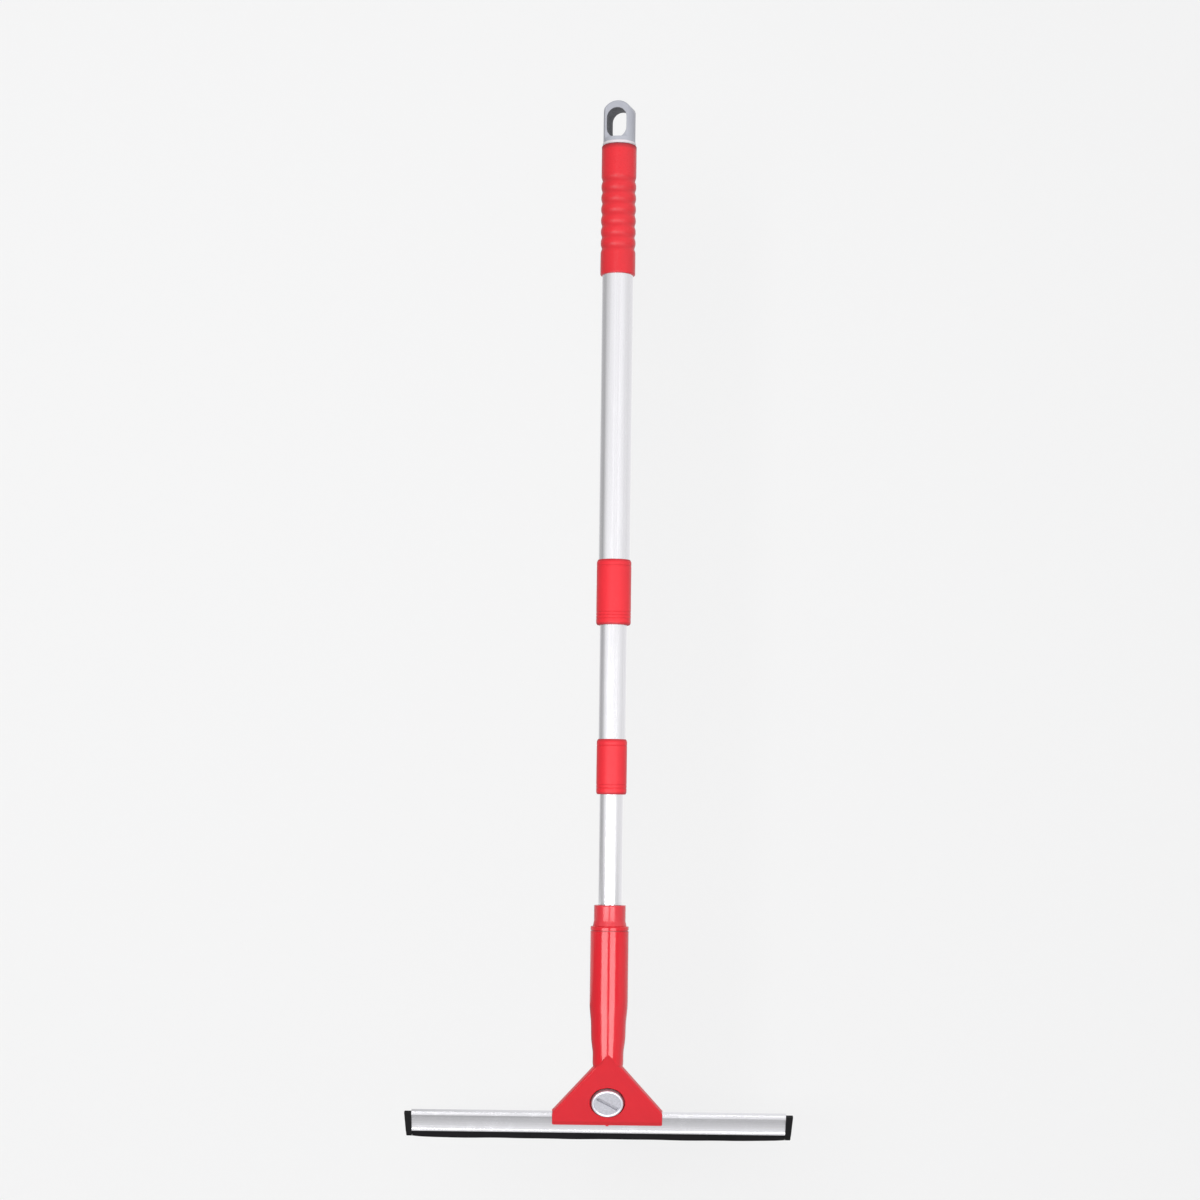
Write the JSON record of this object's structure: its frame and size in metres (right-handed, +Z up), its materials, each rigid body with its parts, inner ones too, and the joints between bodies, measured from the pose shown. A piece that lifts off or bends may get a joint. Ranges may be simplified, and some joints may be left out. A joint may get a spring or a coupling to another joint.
{
  "type": "telescopic window squeegee",
  "caption": "Telescopic pole squeegee: sliding aluminium tubes with twist locks, hanging cap, ribbed grip, and a leaning clamp head that holds a rubber blade in a metal channel.",
  "frame": {"origin": "where the hanging hole's top bears on a hook, on the pole's axis", "axes": "+Z up the pole's axis, +X along the blade, +Y to the back: the yoke's face looks towards -Y and a little down"},
  "size_m": [0.3104, 0.0524, 0.8391],
  "materials": {
    "grey_plastic": "satin moulded plastic",
    "grip_red": "soft satin moulded plastic",
    "tube_aluminium": "satin drawn and anodised, with fine lines along the tube",
    "collar_red": "satin moulded plastic",
    "lock_plastic": "matte moulded plastic",
    "ring_plastic": "matte natural plastic",
    "tip_red": "glossy moulded plastic",
    "handle_red": "glossy moulded plastic",
    "screw_metal": "die-cast, satin grey",
    "washer_steel": "zinc plated",
    "nut_steel": "zinc plated",
    "channel_aluminium": "satin extrusion, fine lines along its length",
    "black_rubber": "smooth matte rubber",
    "black_plastic": "satin black plastic"
  },
  "bodies": {
    "outer_section": {"outer_tube": "tube_aluminium", "hang_cap": "grey_plastic", "hand_grip": "grip_red", "upper_collar": "collar_red"},
    "upper_lock": {"upper_cam_ring": "ring_plastic"},
    "middle_section": {"middle_tube": "tube_aluminium", "upper_cam_plug": "lock_plastic", "lower_collar": "collar_red"},
    "lower_lock": {"lower_cam_ring": "ring_plastic"},
    "inner_section": {"inner_tube": "tube_aluminium", "lower_cam_plug": "lock_plastic", "threaded_tip": "tip_red"},
    "head": {"squeegee_handle": "handle_red", "clamp_nut": "nut_steel"},
    "washer": {"clamp_washer": "washer_steel"},
    "screw": {"clamp_screw": "screw_metal"},
    "blade": {"squeegee_channel": "channel_aluminium", "rubber_blade": "black_rubber", "end_cap_left": "black_plastic", "end_cap_right": "black_plastic"}
  },
  "joints": [
    {"name": "upper_extend", "type": "slide", "parent": "outer_section", "child": "upper_lock", "axis": [0, 0, -1], "range_m": [-0.091, 0.23]},
    {"name": "upper_twist", "type": "hinge", "parent": "upper_lock", "child": "middle_section", "pos_m": [0, 0, -0.1593], "axis": [0, 0, 1], "range_deg": [-20, 20]},
    {"name": "lower_extend", "type": "slide", "parent": "middle_section", "child": "lower_lock", "axis": [0, 0, -1], "range_m": [-0.087, 0.238]},
    {"name": "lower_twist", "type": "hinge", "parent": "lower_lock", "child": "inner_section", "pos_m": [0, 0, -0.2889], "axis": [0, 0, 1], "range_deg": [-20, 20]},
    {"name": "head_release", "type": "slide", "parent": "inner_section", "child": "head", "axis": [0, 0, -1], "range_m": [0, 0.03]},
    {"name": "screw_lift", "type": "slide", "parent": "head", "child": "washer", "axis": [0, -0.866, -0.5], "range_m": [0, 0.00275]},
    {"name": "screw_turn", "type": "hinge", "parent": "washer", "child": "screw", "pos_m": [0, 0.0104, -0.80104], "axis": [0, -0.866, -0.5], "range_deg": [0, 990.1]},
    {"name": "blade_shift", "type": "slide", "parent": "head", "child": "blade", "axis": [1, 0, 0], "range_m": [-0.093, 0.107]}
  ],
  "couplings": [
    {"joint": "screw_turn", "follows": "screw_lift", "rad_per_m": 6283.2}
  ]
}
